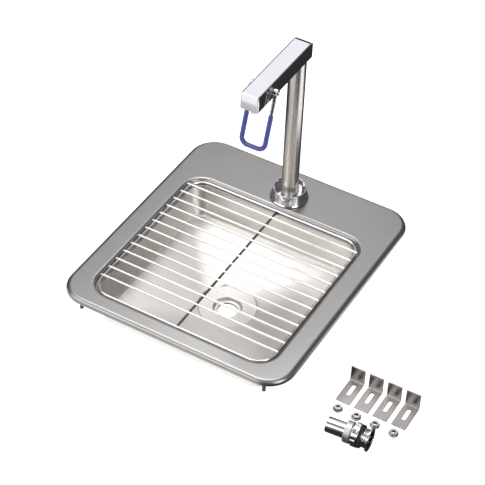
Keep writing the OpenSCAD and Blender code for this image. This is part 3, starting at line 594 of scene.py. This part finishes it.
coupling_low, coupling_high = corners_of("base_coupling")
riser_low, riser_high = corners_of("riser_tube")
post_radius = (riser_high[0] - riser_low[0]) / 2
tube_wall, groove, water_bore, screwed_depth = 1.2, 0.5, 6.5, 6
sleeve_top, sleeve_in = riser_low[2] - groove, post_radius - tube_wall
screwed_top = coupling_low[2] + screwed_depth
ground = finish("ground_tube", (0.92, 0.88, 0.84), 0.26, grain=(1600, 1600, 12), streak=0.12,
                vary=0.15, patch=0.03, patch_size=25, relief=0.1)
coupling = turned(
    "post_coupling",
    eased([(shank_radius, coupling_low[2]), (post_radius, coupling_low[2]),
           (post_radius, sleeve_top), (sleeve_in, sleeve_top), (sleeve_in, coupling_high[2]),
           (water_bore, coupling_high[2]), (water_bore, screwed_top), (shank_radius, screwed_top)],
          [0.2, 0.4, 0.35, 0, 0.3, 0.3, 0, 0]),
    (x_post, y_post, 0), sides=128,
)
fit(coupling, ground, "satin_stainless", "sink", "base_coupling")
riser = turned(
    "post_tube",
    eased([(sleeve_in, riser_low[2]), (post_radius, riser_low[2]),
           (post_radius, riser_high[2]), (sleeve_in, riser_high[2])],
          [0.1, 0.35, 0.3, 0.1]),
    (x_post, y_post, 0), sides=128,
)
screw_low, screw_high = corners_of("riser_screw")
screw_place = (screw_low + screw_high) / 2
screw_way = np.array([screw_place[0] - x_post, screw_place[1] - y_post, 0])
screw_way /= np.linalg.norm(screw_way)
screw_radius, screw_length, socket_radius, socket_depth, past_wall = 1.5, 2.5, 0.75, 1.2, 30
screw_hole = turned(
    "screw_hole",
    np.array([(0, 0), (screw_radius, 0), (screw_radius, past_wall), (0, past_wall)], float),
    (x_post, y_post, screw_place[2]), axis=screw_way, sides=48, across=False,
)
drill(riser, screw_hole)
fit(riser, ground, "satin_stainless", "sink", "riser_tube")
screw_out = post_radius + 0.4
screw = turned(
    "lock_screw",
    eased([(0, screw_out - screw_length), (screw_radius, screw_out - screw_length),
           (screw_radius, screw_out), (socket_radius, screw_out),
           (socket_radius, screw_out - socket_depth), (0, screw_out - socket_depth)],
          [0, 0.2, 0.3, 0.1, 0, 0]),
    (x_post, y_post, screw_place[2]), axis=screw_way, sides=48, across=False,
)
fit(screw, chrome, "stud_steel", "sink", "riser_screw")

# ---- Under the deck -------------------------------------------------------------------------
# The threaded brass shank carries the post. A rubber ring, a steel washer and a brass nut pull
# it up against the sheet, and the supply hose screws on to its lower end.

brass = finish("machined_brass", (0.72, 0.53, 0.25), 0.28, grain=(400, 400, 400), patch_size=60)
thread_pitch, thread_depth, inlet_radius, inlet_length, lead_in = 1.8, 0.7, 10.1, 18, 0.6
thread_end = shank_low[2] + inlet_length
lower = np.linspace(shank_low[2] + 0.5, thread_end, 110)
upper = np.linspace(thread_end, deck_foot, 160)
shank_outline = np.concatenate([
    [(water_bore, shank_low[2]), (inlet_radius - lead_in, shank_low[2])],
    np.stack([np.full(len(lower), inlet_radius), lower], 1),
    np.stack([np.full(len(upper), shank_radius), upper], 1),
    [(shank_radius, deck_foot + 1), (shank_radius, shank_high[2]), (water_bore, shank_high[2])],
])
shank = turned("threaded_shank", shank_outline, (x_post, y_post, 0), sides=72,
               thread=(shank_low[2], deck_foot, thread_pitch, thread_depth, shank_radius))
fit(shank, brass, "brass", "sink", "shank")

zinc = finish("zinc_plate", (0.82, 0.82, 0.82), 0.22, grain=(300, 300, 300), patch_size=90,
              patch=0.06)
for node, paint, slot, rounding in (("under_gasket", rubber, "rubber", 0.5),
                                    ("shank_washer", zinc, "stud_steel", 0.25)):
    low, high = corners_of(node)
    radius = (high[0] - low[0]) / 2
    ring = turned(
        f"{node}_ring",
        eased([(shank_radius + eye_gap, low[2]), (radius, low[2]), (radius, high[2]),
               (shank_radius + eye_gap, high[2])], [0.2, rounding, rounding, 0.2]),
        (x_post, y_post, 0),
    )
    fit(ring, paint, slot, "sink", node)


def hex_nut(name, bore, across_flats, low, high, place, chamfer=0.6, cone=30, face_in=0.15):
    """A hexagonal nut. Round the side the radius is half the flats / cosine of the angle from
    the nearest flat's middle; a cone at each face limits it, which cuts the rounded corners. The
    cone meets the face a little inside the flats."""
    turn = np.linspace(0, 2 * np.pi, 144, endpoint=False)[:, None]
    off_middle = (turn + np.pi / 6) % (np.pi / 3) - np.pi / 6
    six = across_flats / 2 / np.cos(off_middle)
    half_way = np.linspace(0, 1, 9) ** 2 * 0.5
    level = np.concatenate([[0, 0], half_way, 1 - half_way[::-1], [1, 1]])
    height = low + (high - low) * level
    depth = np.minimum(height - low, high - height)
    limit = across_flats / 2 - face_in + depth / np.tan(np.radians(cone))
    radius = np.minimum(six, limit)
    radius[:, :1] = radius[:, -1:] = bore
    inner = low + chamfer * 0.5, high - chamfer * 0.5
    radius[:, 1] = radius[:, -2] = bore + chamfer * 0.5
    height = np.broadcast_to(height, radius.shape).copy()
    height[:, 0], height[:, -1] = inner
    x, y = place
    return shell(name, np.stack([x + radius * np.cos(turn), y + radius * np.sin(turn), height], -1),
                 smooth=25)


nut_low, nut_high = corners_of("shank_nut")
nut_flats = 32
shank_nut = hex_nut("shank_lock_nut", shank_radius, nut_flats, nut_low[2], nut_high[2],
                    (x_post, y_post))
fit(shank_nut, brass, "brass", "sink", "shank_nut")

# ---- Faucet head ----------------------------------------------------------------------------
# A chromed box on the post, cast with a rebate round its open top and a tail that slopes down at
# the back. A polished cover plate lies in the rebate.

head_low, head_high = corners_of("head_shell")
cover_low, cover_high = corners_of("head_cover")
head_middle = ((head_low + head_high) / 2)[:2]
head_half = ((head_high - head_low) / 2)[:2]
head_corner, head_wall, head_floor, rim_width = 1.0, 1.8, 1.5, 1.0
inner_corner = 0.2
tail_drop, tail_length = 2.4, 5.2
wall_at = flat + head_wall
rim_height, rebate, floor = head_high[2], cover_low[2], head_low[2] + head_floor
head_outline = eased(
    [(0, head_low[2]), (wall_at, head_low[2]), (wall_at, rim_height),
     (wall_at - rim_width, rim_height), (wall_at - rim_width, rebate), (flat, rebate),
     (flat, floor), (0, floor)],
    [0, 0.7, 0.85, 0.12, 0.1, 0.2, 0.5, 0],
)
centre_path = rounded_path((0, 0), head_middle, bend=10, run=30)
inner_path = rounded_path(head_half - head_wall - inner_corner, head_middle, bend=10, run=30)
outer_path = rounded_path(head_half - head_corner, head_middle, bend=10, run=30)
head_knots = [(0, 0, 0), (flat, 1, inner_corner), (wall_at, 2, head_corner)]
head_grid = carried([centre_path, inner_path, outer_path], head_outline, head_knots)
behind = head_high[1] - head_grid[..., 1]
slope = head_high[2] - tail_drop * np.clip(1 - behind / tail_length, 0, 1)
head_grid[..., 2] = np.minimum(head_grid[..., 2], slope)
head = shell("faucet_head", head_grid)
fit(head, chrome, "chrome", "sink", "head_shell")

cover_chrome = finish("cover_chrome", (0.85, 0.84, 0.88), 0.06, grain=(50, 50, 50), streak=0.015,
                      vary=0.3, patch=0.02, patch_size=25, relief=0.01)
cover_middle, cover_half = ((cover_low + cover_high) / 2)[:2], ((cover_high - cover_low) / 2)[:2]
play, plate_corner = 0.3, 0.2
plate_path = rounded_path(cover_half - play - plate_corner, cover_middle, bend=8, run=20)
plate_centre = rounded_path((0, 0), cover_middle, bend=8, run=20)
plate_edge = flat + plate_corner
cover_outline = eased(
    [(0, cover_low[2]), (plate_edge, cover_low[2]), (plate_edge, cover_high[2]),
     (0, cover_high[2])], [0, 0.1, 0.25, 0])
cover = shell("head_top_plate", carried([plate_centre, plate_path], cover_outline,
                                        [(0, 0, 0), (flat, 1, 0),
                                         (plate_edge, 1, plate_corner)]))
fit(cover, cover_chrome, "cover_chrome", "sink", "head_cover")

# ---- Nozzle ---------------------------------------------------------------------------------
# A small moulded outlet screwed up into the valve through the head's floor, with a knurled
# collar for the fingers and a rubber washer above it.

nozzle_low, nozzle_high = corners_of("nozzle")
nozzle_x, nozzle_y = ((nozzle_low + nozzle_high) / 2)[:2]
tip_radius, knurl_radius, nozzle_bore, neck_radius = 4, 5.6, 2.5, 3.6
knurl_gap, knurl_height = 0.8, 2.5
knurl_top = head_low[2] - knurl_gap
knurl_low = knurl_top - knurl_height
cream = finish("cream_plastic", (0.83, 0.8, 0.7), 0.3, metal=0, grain=(900, 900, 900),
               patch_size=120, relief=0.05)
nozzle_outline = eased(
    [(nozzle_bore, nozzle_low[2]), (tip_radius, nozzle_low[2]), (tip_radius, knurl_low),
     (knurl_radius, knurl_low), (knurl_radius, knurl_top), (neck_radius, knurl_top),
     (neck_radius, nozzle_high[2]), (nozzle_bore, nozzle_high[2])],
    [0.5, 0.7, 0.2, 0.4, 0.3, 0, 0.3, 0.2])
nozzle = turned("outlet_nozzle", nozzle_outline, (nozzle_x, nozzle_y, 0), sides=96)
fit(nozzle, cream, "nozzle_plastic", "sink", "nozzle")
washer_low, washer_high = corners_of("nozzle_washer")
washer_radius = (washer_high[0] - washer_low[0]) / 2
nozzle_seal = turned(
    "nozzle_seal",
    eased([(neck_radius, washer_low[2]), (washer_radius, washer_low[2]),
           (washer_radius, washer_high[2]), (neck_radius, washer_high[2])],
          [0, 0.25, 0.25, 0]),
    (nozzle_x, nozzle_y, 0),
)
fit(nozzle_seal, rubber, "rubber", "sink", "nozzle_washer")

# ---- Lever ----------------------------------------------------------------------------------
# A hardened wire bent to a loop and brazed into two chromed hubs on the pivot shaft. A glass
# pushes it back; its lower part is dipped in soft blue vinyl.

shaft_low, shaft_high = corners_of("pivot_shaft")
pivot = (shaft_low + shaft_high) / 2
steel = finish("drawn_steel", (0.66, 0.64, 0.61), 0.25, grain=(200, 200, 900), patch_size=70)
hub_radius, hub_bore, dimple_radius, dimple_floor, dimple_depth = 4.3, 3, 2.2, 1.6, 0.7
bush_bore, bush_radius, bush_flange = 3.05, 4, 0.6
pin = shaft_high[0]
for side, sign in (("left", -1), ("right", 1)):
    low, high = corners_of(f"lever_hub_{side}")
    near, far = sorted(np.abs([low[0], high[0]]))
    hub = turned(
        f"hub_{side}",
        eased([(hub_bore, near), (hub_radius, near), (hub_radius, far), (dimple_radius, far),
               (dimple_floor, far - dimple_depth), (0, far - dimple_depth), (0, pin),
               (hub_bore, pin)], [0.1, 0.5, 0.9, 0.2, 0.3, 0, 0, 0]),
        (0, pivot[1], pivot[2]), axis=(sign, 0, 0), sides=96,
    )
    fit(hub, chrome, "chrome", "lever", f"lever_hub_{side}")
    low, high = corners_of(f"bush_{side}")
    inside, outside = sorted(np.abs([low[0], high[0]]))
    flange_radius = (high[2] - low[2]) / 2
    bush = turned(
        f"pivot_bush_{side}",
        eased([(bush_bore, inside), (bush_radius, inside), (bush_radius, outside - bush_flange),
               (flange_radius, outside - bush_flange), (flange_radius, outside),
               (bush_bore, outside)], [0.1, 0.1, 0, 0.1, 0.2, 0.1]),
        (0, pivot[1], pivot[2]), axis=(sign, 0, 0), sides=64,
    )
    fit(bush, chrome, "brass", "sink", f"bush_{side}")

lean, wire_radius, coat_radius, loop_corner, arm = math.radians(17.2), 2.3, 3.0, 9, 16.2
wire_low = corners_of("lever_wire")[0]
drop = (pivot[2] - wire_low[2] - wire_radius) / math.cos(lean)
down = np.array([0, -math.sin(lean), -math.cos(lean)])
side_way = np.array([1, 0, 0])


def loop_line(start, count):
    """The lever's centreline from one arm to the other, at even steps of its own length: down
    the arm from a depth below the pivot, a quarter circle, the bottom bar, and back up."""
    shape = eased([(-arm, start), (-arm, drop), (arm, drop), (arm, start)],
                  [0, loop_corner, loop_corner, 0], steps=40, hold=0)
    step = np.linalg.norm(np.diff(shape, axis=0), axis=1)
    length = np.concatenate([[0], np.cumsum(step)])
    even = np.linspace(0, length[-1], count)
    x, depth = (np.interp(even, length, shape[:, i]) for i in (0, 1))
    return pivot * (0, 1, 1) + x[:, None] * side_way + depth[:, None] * down


across_loop = np.cross(side_way, down)
lever_wire = drawn("lever_loop", loop_line(bush_bore, 160), round_section(wire_radius, 32),
                   across_loop)
fit(lever_wire, steel, "steel", "lever", "lever_wire")
bare = 31
coat_line = loop_line(bare, 220)
vinyl = finish("blue_vinyl", (0.075, 0.08, 0.36), 0.32, metal=0, grain=(350, 350, 350),
               streak=0.08, patch=0.08, patch_size=90, relief=0.12, Coat_Weight=0.6,
               Coat_Roughness=0.15)
# The coat starts on the wire with a rounded lip, runs to the other lip, and comes back inside as
# the surface of the wire, which closes it.
lip_length, lip_start, lip_rise = 0.6, 0.05, 0.65
lip = np.linspace(0, np.pi / 2, 7)
rise = np.concatenate([[0.0], lip_length * (1 - np.cos(lip))])
thick = np.concatenate([[wire_radius], wire_radius + lip_start + lip_rise * np.sin(lip)])
along = np.gradient(coat_line, axis=0)
along /= np.linalg.norm(along, axis=1)[:, None]
stations = np.concatenate([
    coat_line[:1] + along[:1] * rise[:, None], coat_line[2:-2],
    coat_line[-1:] - along[-1:] * rise[::-1, None], coat_line[::-1],
])
ahead = np.concatenate([np.repeat(along[:1], len(thick), 0), along[2:-2],
                        np.repeat(along[-1:], len(thick), 0), along[::-1]])
radii = np.concatenate([thick, np.full(len(coat_line[2:-2]), coat_radius), thick[::-1],
                        np.full(len(coat_line), wire_radius)])
turn = np.linspace(0, 2 * np.pi, 40, endpoint=False)
sideways = np.cross(ahead, across_loop)
ring = (np.cos(turn)[None, :, None] * sideways[:, None]
        + np.sin(turn)[None, :, None] * across_loop)
coat = shell("lever_coat", stations[:, None] + radii[:, None, None] * ring)
fit(coat, vinyl, "vinyl", "lever", "lever_coating")

# ---- Inside the head and post ---------------------------------------------------------------
# The plug, its nut and the elbow that join the post to the head, the feed tube, and the valve
# that the lever opens: plain turned and milled parts, kept as the CAD made them. The valve's
# spring is a coil of steel wire.

copper = finish("drawn_copper", (0.72, 0.36, 0.22), 0.3, grain=(300, 20, 300), patch_size=50)
inside_parts = {
    brass: ["riser_plug", "head_nut", "head_elbow", "valve_body", "valve_plug", "lever_cam"],
    copper: ["feed_tube"],
    rubber: ["valve_washer", "stem_seal"],
    steel: ["pivot_shaft", "valve_stem"],
}
for paint, names in inside_parts.items():
    for node in names:
        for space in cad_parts[node].material_slots:
            space.material = paint

spring_low, spring_high = corners_of("valve_spring")
coil_wire, coil_turns, coil_travel = 0.25, 3, 1.4
coil_radius = (spring_high[0] - spring_low[0]) / 2 - coil_wire
coil_height = (spring_low[2] + spring_high[2]) / 2
coil_sides = 48
coil_turn = np.linspace(0, 2 * np.pi * coil_turns, coil_sides * coil_turns)
coil_line = np.stack([
    coil_radius * np.cos(coil_turn),
    np.linspace(spring_low[1] + coil_wire, spring_high[1] - coil_wire, len(coil_turn)),
    coil_height + coil_radius * np.sin(coil_turn),
], 1)
spring = drawn("return_spring", coil_line, round_section(coil_wire, 12), (0, 1, 0), ease=0.1)
fit(spring, steel, "steel", "sink", "valve_spring")
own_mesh(spring)

# ---- Clips and nuts -------------------------------------------------------------------------
# Loose on the table: four hold-down clips bent from strip, with a slot for the stud, and a
# plated nut on a washer in front of each.

rolled = finish("rolled_strip", (0.6, 0.565, 0.55), 0.3, grain=(1200, 1200, 40), streak=0.08,
                patch=0.05, patch_size=60, relief=0.1)
strip, bend_radius, slot_length, slot_width, slot_shift, edge = 1.5, 2.2, 20, 5.5, 3, 0.3
middle, reach = strip / 2, 2
washer_bore, clip_nut_bore, clip_nut_flats = 2.6, 2.45, 9.5
for number in range(1, 5):
    low, high = corners_of(f"clip_{number}")
    x = (low[0] + high[0]) / 2
    width = high[0] - low[0]
    bent = eased([(low[1], low[2] + middle), (high[1] - middle, low[2] + middle),
                  (high[1] - middle, high[2])], [0, bend_radius, 0], steps=14)
    step = np.concatenate([[0], np.cumsum(np.linalg.norm(np.diff(bent, axis=0), axis=1))])
    even = np.linspace(0, step[-1], 70)
    line = np.stack([0 * even + x, *(np.interp(even, step, bent[:, i]) for i in (0, 1))], 1)
    section = eased([(-middle, -width / 2), (middle, -width / 2), (middle, width / 2),
                     (-middle, width / 2)], [edge] * 4, steps=4)
    clip = drawn(f"deck_clip_{number}", line, section, (1, 0, 0), ease=edge)
    slot_y = (low[1] + high[1]) / 2 + slot_shift
    long, round_end = slot_length / 2, slot_width / 2
    slot = eased([(-round_end, -long), (round_end, -long), (round_end, long),
                  (-round_end, long)], [round_end - 0.01] * 4, steps=12, hold=0)
    stroke = np.linspace((x, slot_y, low[2] - reach), (x, slot_y, low[2] + strip + reach), 4)
    drill(clip, drawn("punch", stroke, slot[:, ::-1], (1, 0, 0), ease=0.01))
    fit(clip, rolled, "clip_steel", "sink", f"clip_{number}")

    low, high = corners_of(f"clip_washer_{number}")
    place = ((low + high) / 2)[:2]
    washer_radius = (high[0] - low[0]) / 2
    washer = turned(
        f"clip_flat_washer_{number}",
        eased([(washer_bore, low[2]), (washer_radius, low[2]), (washer_radius, high[2]),
               (washer_bore, high[2])], [0.1, 0.2, 0.35, 0.2]),
        (*place, 0), sides=64,
    )
    fit(washer, zinc, "stud_steel", "sink", f"clip_washer_{number}")
    low, high = corners_of(f"clip_nut_{number}")
    nut = hex_nut(f"clip_hex_nut_{number}", clip_nut_bore, clip_nut_flats, low[2], high[2], place,
                  chamfer=0.5)
    fit(nut, zinc, "stud_steel", "sink", f"clip_nut_{number}")

# ---- Drain fitting --------------------------------------------------------------------------
# Loose on the table, lying on its flange: a chromed body with a threaded barrel, its rubber
# gasket and castellated nut, and the tailpiece held in its lower end by a dull slip nut.

drain_low, drain_high = corners_of("drain_body")
tail_low, tail_high = corners_of("drain_tailpiece")
drain_turn = math.radians(5)
drain_way = np.array([math.cos(drain_turn), math.sin(drain_turn), 0])
tail_radius, flange_radius, barrel_radius = 9.7, 15, 12
tail_end = np.array([tail_low[0] + tail_radius * math.sin(drain_turn), tail_high[1], 0])
drain_level = (drain_low[2] + drain_high[2]) / 2
drain_length = 56
flange_high = drain_high[1] - flange_radius * math.cos(drain_turn)
drain_origin = np.array([tail_end[0], flange_high - drain_length * math.sin(drain_turn),
                         drain_level])


def drain_part(name, node, outline, paint, slot, thread=None, notches=0):
    """A turned piece of the drain fitting, along its axis from the tailpiece's end. Notches are
    sawn into its rim at even steps, from the end nearer to the tailpiece."""
    piece = turned(name, outline, drain_origin, axis=drain_way, sides=128, thread=thread)
    if notches:
        across = np.cross((0, 0, 1), drain_way)
        lines = []
        for turn in (np.arange(notches) + 0.5) * 2 * np.pi / notches:
            out = np.cos(turn) * np.array([0, 0, 1]) + np.sin(turn) * across
            start = drain_origin + drain_way * saw_from + out * saw_out
            saw = np.linspace(start, start + drain_way * saw_length, 4)
            side = np.cross(drain_way, out)
            lines.append(drawn("saw", saw, saw_section, side, ease=0.01))
        drill(piece, *lines)
    return fit(piece, paint, slot, "sink", node)


# Places along the fitting count from the tailpiece's end.
tail_bore, tube_length, socket_end = 8.4, 36, 41
drain_part("drain_tail_tube", "drain_tailpiece",
           eased([(tail_bore, 0), (tail_radius, 0), (tail_radius, tube_length),
                  (tail_bore, tube_length)], [0.3, 0.4, 0.2, 0.2]),
           chrome, "satin_stainless")

pearl = finish("pearl_chrome", (0.97, 0.97, 0.96), 0.5, grain=(300, 300, 300), patch_size=90,
               patch=0.02)
slip_radius, slip_bore, slip_start, slip_step, slip_end = 13.8, 9.75, 24, 28, 32
nut_bore = barrel_radius + 0.05
drain_part("drain_slip_nut", "tailpiece_nut",
           eased([(slip_bore, slip_start), (slip_radius, slip_start), (slip_radius, slip_end),
                  (nut_bore, slip_end), (nut_bore, slip_step), (slip_bore, slip_step)],
                 [0.3, 0.9, 0.7, 0.3, 0, 0]), pearl, "chrome")

socket_bore, body_bore, mouth_bore, drain_groove = 9.72, 8.3, 10.4, 0.6
thread_start, thread_stop, flange_start = 28.5, 53.2, 53.4
threads = np.linspace(thread_start, thread_stop, 220)
flange_outline = eased(
    [(barrel_radius, flange_start), (flange_radius, flange_start), (flange_radius, drain_length),
     (mouth_bore, drain_length), (mouth_bore, socket_end), (body_bore, socket_end),
     (body_bore, tube_length), (socket_bore, tube_length)],
    [0, 0.7, 0.9, 0.7, 0.2, 0.2, 0.2, 0])
body_outline = np.concatenate([
    [(socket_bore, slip_step), (barrel_radius - 0.5, slip_step)],
    np.stack([np.full(len(threads), barrel_radius), threads], 1),
    flange_outline[10:],
])
drain_part("drain_flange_body", "drain_body", body_outline, chrome, "chrome",
           thread=(thread_start, thread_stop, thread_pitch, drain_groove, barrel_radius))

saw_from, saw_length, saw_out = 33, 7, 15.2
saw_section = eased([(-2, -2.2), (2, -2.2), (2, 2.2), (-2, 2.2)], [0.3] * 4, steps=4)
locknut_start, locknut_end = 34, 42
drain_part("drain_lock_nut", "drain_locknut",
           eased([(nut_bore, locknut_start), (flange_radius, locknut_start),
                  (flange_radius, locknut_end), (nut_bore, locknut_end)], [0.5, 0.7, 0.5, 0.3]),
           chrome, "chrome", notches=8)

seal_radius, seal_start, seal_end = 14.6, 42.4, 45.8
drain_part("drain_seal", "drain_gasket",
           eased([(nut_bore, seal_start), (seal_radius, seal_start), (seal_radius, seal_end),
                  (nut_bore, seal_end)], [0.4, 1.1, 1.1, 0.4]), rubber, "rubber")
